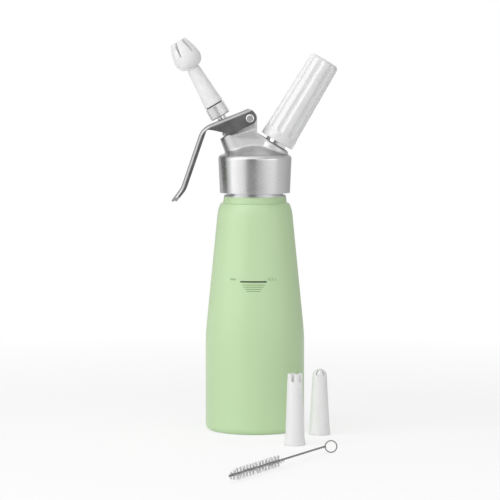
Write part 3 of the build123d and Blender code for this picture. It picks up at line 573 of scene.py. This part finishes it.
thread(
    "neck_thread", "bottle", neck_metal,
    radius=23.95 * MM, pitch=4 * MM, low=196 * MM, high=204.6 * MM, depth=0.55 * MM,
    place=Matrix.Identity(4),
)
thread(
    "nipple_thread", "head", nipple_steel,
    radius=10.05 * MM, pitch=2.1 * MM, low=nipple_high - 8.2 * MM, high=nipple_high - 1.3 * MM,
    depth=0.45 * MM, place=charger_place,
)
thread(
    "spigot_thread", "valve", adapter_metal,
    radius=5.05 * MM, pitch=1.6 * MM, low=adapter_high - 6.2 * MM, high=adapter_high - 0.9 * MM,
    depth=0.4 * MM, place=nozzle_place,
)

# %% [markdown]
# ## The charger's holder
# The holder is a moulded sleeve that is screwed on by hand, so eight hollow flutes run
# down it. They run out through the rounded top and end in small rounds above a plain
# rim. A surface that follows a rule like this one can be written as a grid: each row has
# a radius and a height, and the flutes take a little off the radius as the row goes
# round. First come the sizes and the rule of the flutes.

# %% The flutes of the holder
holder_low, holder_high = span_along("charger_holder", charger_place)
holder_foot = holder_low - 1.2 * MM
holder_step = holder_foot + 6.4 * MM
flute_foot = holder_step + 1.1 * MM
rim_r, foot_r, crown_r = 14.2 * MM, 13.85 * MM, 12.5 * MM
flutes, flute_middle = 8, math.radians(-55.5)
flute_half, flute_depth, flute_end = 2.75 * MM, 1.2 * MM, 1.7 * MM
edge_softness = 0.07 * MM


def body_radius(height):
    """The radius of the holder's plain tapered body at a height along its axis."""
    share = (height - holder_step) / (holder_high - holder_step)
    return foot_r + (crown_r - foot_r) * share


def flute_cut(turn, height):
    """How much a flute takes off the radius, with a soft edge."""
    pitch = math.tau / flutes
    from_middle = (turn - flute_middle + pitch / 2) % pitch - pitch / 2
    across = from_middle * body_radius(height) / flute_half
    below = max(0.0, flute_foot + flute_end - height) / flute_end
    depth = flute_depth * (1.0 - across * across - below * below)
    return 0.5 * (depth + math.hypot(depth, edge_softness) - edge_softness)


print("holder from", *in_mm((holder_foot, holder_high)), "with", flutes, "flutes")

# %% [markdown]
# ## The rows of the holder
# The rows start in the middle of the crown, go over its rounded edge, down the wall and
# round the rim. At the open end they turn in and run up the bore, so the shell is closed.
# A row of the wall has no radius of its own, because the taper gives it.

# %% The rows of the holder
crown_across, crown_drop = 4.0 * MM, 3.6 * MM
crown_steps, wall_steps, end_steps = 12, 24, 22
wall_end = holder_step + 0.35 * MM
thread_bore_r, charger_bore_r = 10.6 * MM, 9.35 * MM
thread_bore_top, bore_top = holder_low + 12 * MM, holder_high - 3 * MM
mouth_chamfer = 0.3 * MM
rim_top = ((-0.14, 0.0), (-0.03, -0.1), (0.0, -0.3))
rim_bottom = ((0.0, 0.5), (-0.15, 0.15), (-0.5, 0.0))


def fluted_rows():
    """Radius and height of the rows that the flutes cut."""
    rows = []
    for index in range(1, crown_steps + 1):
        turn = math.radians(90) * index / crown_steps
        across = crown_r - crown_across * (1 - math.sin(turn))
        rows.append((across, holder_high - crown_drop * (1 - math.cos(turn))))
    high, low = holder_high - crown_drop, flute_foot + flute_end
    rows += [(None, high + (low - high) * i / wall_steps) for i in range(1, wall_steps + 1)]
    rows += [(None, low + (wall_end - low) * i / end_steps) for i in range(1, end_steps + 1)]
    return rows


def holder_rows():
    """Radius, height and whether the flutes cut the row, from the crown to the bore."""
    crown = [(share * (crown_r - crown_across), holder_high) for share in (0.25, 0.5, 0.75, 1.0)]
    rim = [(foot_r + 0.04 * MM, holder_step + 0.12 * MM)]
    rim += [(rim_r + r * MM, holder_step + z * MM) for r, z in rim_top]
    rim += [(rim_r + r * MM, holder_foot + z * MM) for r, z in rim_bottom]
    bore = [(thread_bore_r + mouth_chamfer, holder_foot)]
    bore += [(thread_bore_r, holder_foot + mouth_chamfer), (thread_bore_r, thread_bore_top)]
    bore += [(charger_bore_r, thread_bore_top), (charger_bore_r, bore_top)]
    plain = [(*row, False) for row in crown]
    fluted = [(*row, True) for row in fluted_rows()]
    return plain + fluted + [(*row, False) for row in rim + bore]


print("rows:", len(holder_rows()))

# %% [markdown]
# ## The shell of the holder
# Each pair of neighbouring rows is joined by a ring of faces, and the first and the last
# row are closed by a fan round one corner on the axis.

# %% The shell of the holder
def build_holder(columns=192):
    rows = holder_rows()
    corners = [(0, 0, holder_high)]
    for radius, height, fluted in rows:
        for column in range(columns):
            turn = math.tau * column / columns
            reach = body_radius(height) if radius is None else radius
            if fluted:
                reach = min(reach, body_radius(height) - flute_cut(turn, height))
            corners.append((reach * math.sin(turn), -reach * math.cos(turn), height))
    corners.append((0, 0, rows[-1][1]))
    last_row, last = 1 + (len(rows) - 1) * columns, len(corners) - 1
    faces = []
    for near in range(columns):
        far = (near + 1) % columns
        faces.append((0, 1 + near, 1 + far))
        for high in range(1, last_row, columns):
            low = high + columns
            faces.append((high + near, low + near, low + far, high + far))
        faces.append((last_row + near, last, last_row + far))
    return shaped("holder_shell", corners, faces, holder_plastic, charger_place)


holder_shell = build_holder()
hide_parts("charger_holder")
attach(holder_shell, "holder")
print("holder:", len(holder_shell.data.polygons), "faces")

# %% [markdown]
# ## The coat's rolled edge
# The lacquer runs up over the bottle's rim and ends in a thin rolled edge against the
# bare neck. It is a ring with a small section, so its section is turned round the axis.

# %% The coat's rolled edge
def turned_ring(name, section, finish, columns=160):
    """A closed section of radius and height pairs, turned round the bottle's axis."""
    count = len(section)
    corners, faces = [], []
    for column in range(columns):
        turn = math.tau * column / columns
        across, aside = MM * math.cos(turn), MM * math.sin(turn)
        corners += [(radius * across, radius * aside, height * MM) for radius, height in section]
        near, far = column * count, (column + 1) % columns * count
        for index in range(count):
            after = (index + 1) % count
            faces.append((near + index, far + index, far + after, near + after))
    return shaped(name, corners, faces, finish)


lip_wall = [(25.24, 188.1), (25.22, 188.8), (25.17, 189.3), (25.1, 189.5), (25.02, 189.6)]
lip_section = [(24.93, 187.9), *lip_wall, (24.93, 189.6)]
coat_lip = turned_ring("coat_lip", lip_section, coat_green)
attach(coat_lip, "bottle")
print("lip:", len(coat_lip.data.polygons), "faces")

# %% [markdown]
# ## The pivot screw's recess
# The lever turns on a screw with a cross recess. The CAD head is plain, so a copy of it
# is merged into one closed shell, and a cross of two bars is cut out of the copy.

# %% The pivot screw's recess
def bar(across, upright, depth):
    """The corners and faces of a box about the origin, as plain lists."""
    x, y, z = across / 2, depth / 2, upright / 2
    corners = [(a * x, b * y, c * z) for a in (-1, 1) for b in (-1, 1) for c in (-1, 1)]
    faces = [(0, 1, 3, 2), (4, 6, 7, 5), (0, 4, 5, 1), (2, 3, 7, 6), (0, 2, 6, 4), (1, 5, 7, 3)]
    return corners, faces


def merged_copy(node_name, gap=0.001 * MM):
    """A copy of a CAD node's mesh whose loose triangles are joined."""
    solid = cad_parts[node_name].data.copy()
    shell = bmesh.new()
    shell.from_mesh(solid)
    bmesh.ops.remove_doubles(shell, verts=shell.verts, dist=gap)
    shell.to_mesh(solid)
    shell.free()
    return solid


def cut_cross(node_name, name, arm, width, depth, turn):
    """A copy of a screw whose front, towards -Y, has a cross recess."""
    low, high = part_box(node_name)
    front = Vector(((low[0] + high[0]) / 2, low[1], (low[2] + high[2]) / 2))
    place = Matrix.Translation(front) @ Matrix.Rotation(turn, 4, "Y")
    solid = merged_copy(node_name)
    solid.name = name
    piece = put(name, solid)
    for across, upright in ((arm, width), (width, arm)):
        corners, faces = bar(across, upright, 2 * depth)
        cutter_mesh = bpy.data.meshes.new("cutter")
        cutter_mesh.from_pydata(corners, [], faces)
        cutter_mesh.transform(place)
        cutter = put("cutter", cutter_mesh)
        cut = piece.modifiers.new("cut", "BOOLEAN")
        cut.operation, cut.solver, cut.object = "DIFFERENCE", "EXACT", cutter
        mesh = plain_mesh(piece)
        piece.modifiers.clear()
        piece.data = mesh
        bpy.data.objects.remove(cutter)
    return smooth(piece, 12)


cross_turn = math.radians(25)
cross_screw = cut_cross(
    "pivot_screw", "cross_screw", arm=4.2 * MM, width=1.0 * MM, depth=1.0 * MM, turn=cross_turn
)
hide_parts("pivot_screw")
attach(cross_screw, "head")
print("screw:", len(cross_screw.data.polygons), "faces", in_mm(cross_screw.dimensions))

# %% [markdown]
# ## Print on the bottle
# A dark line on the coat shows how full the bottle may be, with thinner lines under it
# and two short words beside it. Print follows the surface, so each flat shape is bent
# round the bottle: its width becomes an angle at the bottle's radius there. A Solidify
# modifier gives the film of ink its thickness.

# %% Print on the bottle
print_ink = moulded_finish("print_ink", (0.012, 0.022, 0.008), 0.5, 0.5 * MM, 0.05)
pale_ink = moulded_finish("pale_ink", (0.17, 0.27, 0.12), 0.5, 0.5 * MM, 0.05)
taper_foot, taper_height = 78 * MM, 97.5 * MM
bottle_r, taper_in = 40.0 * MM, 9.7 * MM
ink_lift, ink_film = 0.03 * MM, 0.06 * MM


def bend_round_bottle(mesh):
    """Take a flat mesh, with its width along X and its height along Z, onto the coat."""
    for vertex in mesh.vertices:
        across, height = vertex.co.x, vertex.co.z
        radius = bottle_r - taper_in * (height - taper_foot) / taper_height
        angle = across / radius
        radius += ink_lift
        vertex.co = (radius * math.sin(angle), -radius * math.cos(angle), height)


def printed_piece(name, mesh, finish):
    bend_round_bottle(mesh)
    mesh.materials.clear()
    mesh.materials.append(finish)
    piece = put(name, mesh)
    wall = piece.modifiers.new("ink_film", "SOLIDIFY")
    wall.thickness = ink_film
    wall.offset = 0.0
    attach(piece, "bottle")


print("inks:", print_ink.name, pale_ink.name)

# %% [markdown]
# ## The fill mark
# A line is a strip of short faces, so that it can bend. A word is made of Blender's own
# plain letters, which become a mesh before they are set upright and bent.

# %% The fill mark
def printed_line(name, middle, height, width, thickness, finish, steps=24):
    """A level line as a strip of faces, narrow enough to bend."""
    corners = []
    for index in range(steps + 1):
        across = middle + width * (index / steps - 0.5)
        corners += [(across, 0, height - thickness / 2), (across, 0, height + thickness / 2)]
    faces = [(low, low + 2, low + 3, low + 1) for low in range(0, 2 * steps, 2)]
    mesh = bpy.data.meshes.new(name)
    mesh.from_pydata(corners, [], faces)
    printed_piece(name, mesh, finish)


def printed_word(name, words, left, foot, size):
    """A short word from Blender's own plain letters."""
    letters = bpy.data.curves.new(name + "_letters", "FONT")
    letters.body = words
    letters.size = size
    letters.space_character = 1.1
    typed = put(name + "_letters", letters)
    mesh = plain_mesh(typed)
    bpy.data.objects.remove(typed)
    upright = Matrix.Rotation(math.radians(90), 4, "X")
    mesh.transform(Matrix.Translation((left, 0, foot)) @ upright)
    printed_piece(name, mesh, pale_ink)


line_middle = -1.3 * MM
word_foot, word_size = 123.9 * MM, 3.1 * MM
thin_lines = ((120.4, 18.6), (118.7, 16.2), (117.0, 13.4), (115.4, 11.0))
printed_line("fill_line", line_middle, 122.9 * MM, 21.4 * MM, 1.15 * MM, print_ink)
for index, (height, width) in enumerate(thin_lines, 1):
    name = f"fill_line_{index}"
    printed_line(name, line_middle, height * MM, width * MM, 0.42 * MM, pale_ink)
printed_word("fill_word", "max", -21.2 * MM, word_foot, word_size)
printed_word("fill_size", "0.5 L", 10.9 * MM, word_foot, word_size)

# %% [markdown]
# ## The brush's wires
# A cleaning brush is two wires twisted together, which grip the bristles and end in a
# loop. The bristles between them open the twist a little, so its pitch is longer there
# than on the bare stem. The tree bends a line of points into a spiral whose turn grows
# at one rate along the bristles and at another along the stem, and the second wire is
# the first turned by half a turn.

# %% The tree of the wires
def twisted_wires_tree():
    lengths = ["Length", "Gripped", "Gripped Pitch", "Bare Pitch", "Offset", "Wire"]
    tree, group_in, group_out = new_tree("twisted_wires", ["Points"], lengths)
    size = group_in.outputs
    gaps = maths(tree, "SUBTRACT", size["Points"], 1.0)
    spacing = maths(tree, "DIVIDE", size["Length"], gaps)
    step = geo(tree, "ShaderNodeCombineXYZ", {"Z": spacing})
    row = {"Count": size["Points"], "Offset": step.outputs[0]}
    line = geo(tree, "GeometryNodeMeshLine", row, mode="OFFSET")
    curve = geo(tree, "GeometryNodeMeshToCurve", {"Mesh": line.outputs["Mesh"]})
    index = geo(tree, "GeometryNodeInputIndex")
    along = maths(tree, "MULTIPLY", index.outputs[0], spacing)
    held = maths(tree, "MINIMUM", along, size["Gripped"])
    past = maths(tree, "MAXIMUM", maths(tree, "SUBTRACT", along, size["Gripped"]), 0.0)
    held_turns = maths(tree, "DIVIDE", held, size["Gripped Pitch"])
    turns = maths(tree, "ADD", held_turns, maths(tree, "DIVIDE", past, size["Bare Pitch"]))
    angle = maths(tree, "MULTIPLY", turns, math.tau)
    across = maths(tree, "MULTIPLY", maths(tree, "COSINE", angle), size["Offset"])
    aside = maths(tree, "MULTIPLY", maths(tree, "SINE", angle), size["Offset"])
    place = geo(tree, "ShaderNodeCombineXYZ", {"X": across, "Y": aside, "Z": along})
    moved = {"Geometry": curve.outputs[0], "Position": place.outputs[0]}
    spiral = geo(tree, "GeometryNodeSetPosition", moved)
    wire = swept(tree, spiral, round_section(tree, size["Wire"], 8))
    half_turn = {"Rotation": (0, 0, math.pi)}
    second = geo(tree, "GeometryNodeTransform", {0: wire.outputs[0]}, half_turn)
    both = geo(tree, "GeometryNodeJoinGeometry")
    tree.links.new(wire.outputs[0], both.inputs[0])
    tree.links.new(second.outputs[0], both.inputs[0])
    close_tree(tree, group_in, group_out, both.outputs[0])
    return tree


wires = twisted_wires_tree()
print("tree:", wires.name)

# %% [markdown]
# ## The brush on the table
# The brush lies in front of the bottle. Its axis is turned level and then to its heading,
# and one matrix holds both turns and the place of its tip.

# %% The brush on the table
brush_heading = math.radians(63.7)
brush_place = (
    Matrix.Translation((-18.6 * MM, -279.8 * MM, 5.05 * MM))
    @ Matrix.Rotation(brush_heading, 4, "Z")
    @ Matrix.Rotation(math.radians(90), 4, "Y")
)
wire_length, bristle_length = 162.8 * MM, 85.0 * MM
bristle_pitch, stem_pitch = 10.3 * MM, 7.3 * MM
wire_r = 0.46 * MM
wire_sizes = {
    "Points": 600,
    "Length": wire_length,
    "Gripped": bristle_length,
    "Gripped Pitch": bristle_pitch,
    "Bare Pitch": stem_pitch,
    "Offset": 0.44 * MM,
    "Wire": wire_r,
}
twisted_wires = grow("twisted_wires", wires, wire_sizes, brush_steel, brush_place)
smooth(twisted_wires, 60)
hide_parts("brush_wire")
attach(twisted_wires, "brush")

# %% [markdown]
# ## The brush's loop
# The wire ends in a loop to hang the brush by. A closed curve with a round bevel makes
# such a ring from its middle, its radius and the wire's own radius.

# %% The brush's loop
def wire_loop(name, radius, wire, middle, steps=24):
    """A ring of round wire that stands upright, square to the Y axis."""
    curve = bpy.data.curves.new(name, "CURVE")
    curve.dimensions = "3D"
    curve.bevel_depth = wire
    curve.bevel_resolution = 4
    ring = curve.splines.new("NURBS")
    ring.points.add(steps - 1)
    for index, point in enumerate(ring.points):
        turn = math.tau * index / steps
        across, upright = radius * math.cos(turn), radius * math.sin(turn)
        point.co = (middle.x + across, middle.y, middle.z + upright, 1)
    ring.use_cyclic_u = True
    ring.order_u = 4
    ring.resolution_u = 4
    drawn_ring = put(name, curve)
    mesh = plain_mesh(drawn_ring)
    bpy.data.objects.remove(drawn_ring)
    mesh.materials.clear()
    mesh.materials.append(brush_steel)
    return smooth(put(name, mesh), 60)


loop_middle = brush_place @ Vector((0, 0, wire_length)) + Vector((4.2 * MM, 0, 0))
brush_loop = wire_loop("brush_loop", 4.5 * MM, wire_r, loop_middle)
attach(brush_loop, "brush")
print("loop:", in_mm(brush_loop.dimensions))

# %% [markdown]
# ## The bristles
# The wires hold each bristle by its middle, so it stands out on both sides, and the
# twist lays the bristles out as a double spiral. They come in small tufts, each a
# quarter of a turn on from the last. The tree puts thin three-sided hairs on points
# along the axis, turns them with their tuft, and shortens them at both ends. Fixed seeds
# spread the hairs of a tuft and lean each a little differently.

# %% The tree of the bristles
end_share = 0.62


def end_taper(tree, along, start, end, low, high):
    """A factor that runs from low to high between two places along the brush."""
    limits = {"From Min": start, "From Max": end, "To Min": low, "To Max": high}
    return geo(tree, "ShaderNodeMapRange", {"Value": along}, limits).outputs["Result"]


def stray(tree, low, high, seed):
    """A random number for each point, between two limits."""
    limits = {2: low, 3: high, "Seed": seed}
    return geo(tree, "FunctionNodeRandomValue", None, limits, data_type="FLOAT").outputs[1]


def bristle_tree(length, taper):
    tree, group_in, group_out = new_tree("bristles", ["Tufts", "Hairs"], ["Pitch", "Reach", "Hair"])
    size = group_in.outputs
    count = maths(tree, "MULTIPLY", size["Tufts"], size["Hairs"])
    row = geo(tree, "GeometryNodeMeshLine", {"Count": count}, mode="OFFSET")
    index = geo(tree, "GeometryNodeInputIndex")
    tuft = maths(tree, "FLOOR", maths(tree, "DIVIDE", index.outputs[0], size["Hairs"]))
    tuft_gap = maths(tree, "DIVIDE", size["Pitch"], 4.0)
    tuft_place = maths(tree, "MULTIPLY", tuft, tuft_gap)
    along = maths(tree, "ADD", tuft_place, stray(tree, -0.5 * MM, 0.5 * MM, 3))
    place = geo(tree, "ShaderNodeCombineXYZ", {"Z": along})
    moved = {"Geometry": row.outputs["Mesh"], "Position": place.outputs[0]}
    points = geo(tree, "GeometryNodeSetPosition", moved)
    both_sides = {"Radius": size["Hair"], "Depth": maths(tree, "MULTIPLY", size["Reach"], 2.0)}
    hair = geo(tree, "GeometryNodeMeshCylinder", both_sides, {"Vertices": 3})
    level = {"Rotation": (0, math.pi / 2, 0)}
    lying = geo(tree, "GeometryNodeTransform", {0: hair.outputs[0]}, level)
    tuft_turn = maths(tree, "MULTIPLY", tuft, math.pi / 2)
    spin = maths(tree, "ADD", tuft_turn, stray(tree, -0.34, 0.34, 5))
    turned = geo(tree, "ShaderNodeCombineXYZ", {"Y": stray(tree, -0.07, 0.07, 7), "Z": spin})
    first_end = end_taper(tree, along, 0.0, taper, end_share, 1.0)
    other_end = end_taper(tree, along, length - taper, length, 1.0, end_share)
    ends = maths(tree, "MINIMUM", first_end, other_end)
    reach = {"X": maths(tree, "MULTIPLY", ends, stray(tree, 0.8, 1.0, 9))}
    scale = geo(tree, "ShaderNodeCombineXYZ", reach, {"Y": 1.0, "Z": 1.0})
    copies = {
        "Points": points.outputs[0],
        "Instance": lying.outputs[0],
        "Rotation": turned.outputs[0],
        "Scale": scale.outputs[0],
    }
    hairs = geo(tree, "GeometryNodeInstanceOnPoints", copies)
    close_tree(tree, group_in, group_out, hairs.outputs["Instances"])
    return tree


hair_tree = bristle_tree(bristle_length, taper=9 * MM)
print("tree:", hair_tree.name)

# %% [markdown]
# ## Bristles on the brush
# The tufts start a little way in from the tip, so that the wires' end stays bare.

# %% Bristles on the brush
hair_sizes = {
    "Tufts": 32,
    "Hairs": 15,
    "Pitch": bristle_pitch,
    "Reach": 4.75 * MM,
    "Hair": 0.065 * MM,
}
bristle_place = brush_place @ Matrix.Translation((0, 0, 2.6 * MM))
bristles = grow("bristles", hair_tree, hair_sizes, nylon, bristle_place)
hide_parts("brush_bristles")
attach(bristles, "brush")

# %% [markdown]
# ## The floor
# A product stands on a white sweep of paper that has no visible edge. The floor here
# takes the object's shadow near the whipper and turns into plain white further away, so
# that it meets the white world without a line. Near the whipper the paper is mostly
# white already, and the rest of it takes the shadow.

# %% The floor
floor_r, floor_corners = 1.0, 96
shadow_near, shadow_far = 0.25, 0.75
white_near, white_far = 0.70, 1.0


def see_background(tree):
    """1 for a ray from the camera, off a glossy surface or through glass, otherwise 0."""
    path = tree.nodes.new("ShaderNodeLightPath").outputs
    seen = maths(tree, "MAXIMUM", path["Is Camera Ray"], path["Is Glossy Ray"])
    return maths(tree, "MAXIMUM", seen, path["Is Transmission Ray"])


paper, matt = new_finish("paper", (0.98, 0.98, 0.98), roughness=0.9)
white = add_node(paper, "ShaderNodeEmission")
coords = add_node(paper, "ShaderNodeTexCoord")
distance = add_node(paper, "ShaderNodeVectorMath", operation="LENGTH")
feed(paper, coords.outputs["Object"], distance.inputs[0])
away = distance.outputs["Value"]
fade = map_range(paper, away, shadow_near, shadow_far, white_near, white_far)
share = maths(paper.node_tree, "MULTIPLY", fade, see_background(paper.node_tree))
mixed = add_node(paper, "ShaderNodeMixShader")
for index, source in enumerate((share, matt.outputs[0], white.outputs[0])):
    feed(paper, source, mixed.inputs[index])
feed(paper, mixed.outputs[0], paper.node_tree.nodes["Material Output"].inputs["Surface"])

turns = [math.tau * index / floor_corners for index in range(floor_corners)]
edge = [(floor_r * math.cos(t), floor_r * math.sin(t), 0) for t in turns]
sheet = bpy.data.meshes.new("floor")
sheet.from_pydata(edge, [], [tuple(range(floor_corners))])
sheet.materials.append(paper)
floor = put("floor", sheet)
print("floor:", tuple(round(v, 1) for v in floor.dimensions))

# %% [markdown]
# ## Lamps
# Polished metal shows its surroundings, so the lamps are big soft boxes: a tall one on
# the left, a low wide one on the right, one high in front and a large one overhead. A
# weak one behind adds to the soft shadow in front of each foot. The front between them
# stays dark, which gives the collar its dark middle band and the lever's flank its deep
# grey.

# %% Lamps
def soft_box(name, place, aim, width, height, power):
    """A rectangular area lamp that looks at a point."""
    data = bpy.data.lights.new(name, "AREA")
    data.shape = "RECTANGLE"
    data.size, data.size_y = width, height
    data.energy = power
    lamp = put(name, data)
    lamp.location = place
    lamp.rotation_euler = (Vector(aim) - Vector(place)).to_track_quat("-Z", "Y").to_euler()


middle = (0, 0, 0.15)
soft_box("left_box", (-1.15, -0.76, 0.50), middle, width=1.6, height=2.0, power=11.6)
soft_box("right_box", (0.83, -1.06, 0.40), middle, width=1.8, height=0.65, power=3.6)
soft_box("top_box", (-0.45, -0.85, 1.15), middle, width=1.9, height=1.4, power=9.0)
soft_box("roof_box", (0.1, 0.1, 1.6), (0, -0.1, 0), width=2.4, height=1.8, power=7.6)
soft_box("back_box", (0.1, 1.3, 0.9), (0, -0.05, 0), width=1.6, height=0.8, power=2.2)

# %% [markdown]
# ## The room that metal mirrors
# The room around is white. What lies in front of the object, a little to the left, is a
# dark studio, and the ceiling is dim. Directions in the world's own coordinates say where
# they are: a dot product tells how far a direction is from the dark side, and its height
# tells how near it is to the ceiling.

# %% The room that metal mirrors
dark_turn = math.radians(15)
dark_side, far_side = 0.18, 0.5
wall_levels = ((0.06, 0.24), (0.22, 0.9), (0.5, 1.0), (0.85, 0.65))
ceiling_low, ceiling_high, ceiling_level = 0.35, 0.9, 0.4
world = bpy.data.worlds.new("studio")
bpy.context.scene.world = world
world.use_nodes = True
direction = add_node(world, "ShaderNodeTexCoord").outputs["Generated"]
from_dark = add_node(world, "ShaderNodeVectorMath", operation="DOT_PRODUCT")
from_dark.inputs[1].default_value = (math.sin(dark_turn), math.cos(dark_turn), 0)
feed(world, direction, from_dark.inputs[0])
walls = add_node(world, "ShaderNodeValToRGB")
walls.color_ramp.interpolation = "B_SPLINE"
first, last = walls.color_ramp.elements
first.position, last.position = 0.0, 1.0
first.color, last.color = (*[dark_side] * 3, 1), (*[far_side] * 3, 1)
for place, level in wall_levels:
    stop = walls.color_ramp.elements.new(place)
    stop.color = (level, level, level, 1)
feed(world, map_range(world, from_dark.outputs["Value"], -1.0, 1.0), walls.inputs["Fac"])
split = add_node(world, "ShaderNodeSeparateXYZ")
feed(world, direction, split.inputs[0])
ceiling = map_range(world, split.outputs["Z"], ceiling_low, ceiling_high, 1.0, ceiling_level)
room = maths(world.node_tree, "MULTIPLY", walls.outputs["Color"], ceiling)
print("world:", world.name)

# %% [markdown]
# ## What each ray meets
# The camera sees plain white, and only mirror rays see the room. All other rays meet a
# weak even light, which fills the shadows a little.

# %% What each ray meets
fill_level, camera_level = 0.20, 1.0
path = add_node(world, "ShaderNodeLightPath").outputs
mirrored = mix_values(world, path["Is Glossy Ray"], fill_level, room)
level = mix_values(world, path["Is Camera Ray"], mirrored, camera_level)
background = world.node_tree.nodes["Background"]
background.inputs["Color"].default_value = (1, 1, 1, 1)
feed(world, level, background.inputs["Strength"])
print("fill:", fill_level, "camera:", camera_level)

# %% [markdown]
# ## The camera
# A long lens from two metres away, a little above the middle of the bottle, keeps the
# upright lines upright, as a catalogue picture does.

# %% The camera
camera_side, camera_away = -4 * MM, -2.1
camera_height, aim_height = 290 * MM, 146 * MM
lens = bpy.data.cameras.new("camera")
lens.lens = 187.1
lens.sensor_width = 36.0
camera = put("camera", lens)
camera.location = (camera_side, camera_away, camera_height)
look = Vector((camera_side, 0, aim_height)) - camera.location
camera.rotation_euler = look.to_track_quat("-Z", "Y").to_euler()
bpy.context.scene.camera = camera
bpy.context.scene.view_settings.view_transform = "Standard"
print("camera at", tuple(round(v, 3) for v in camera.location))
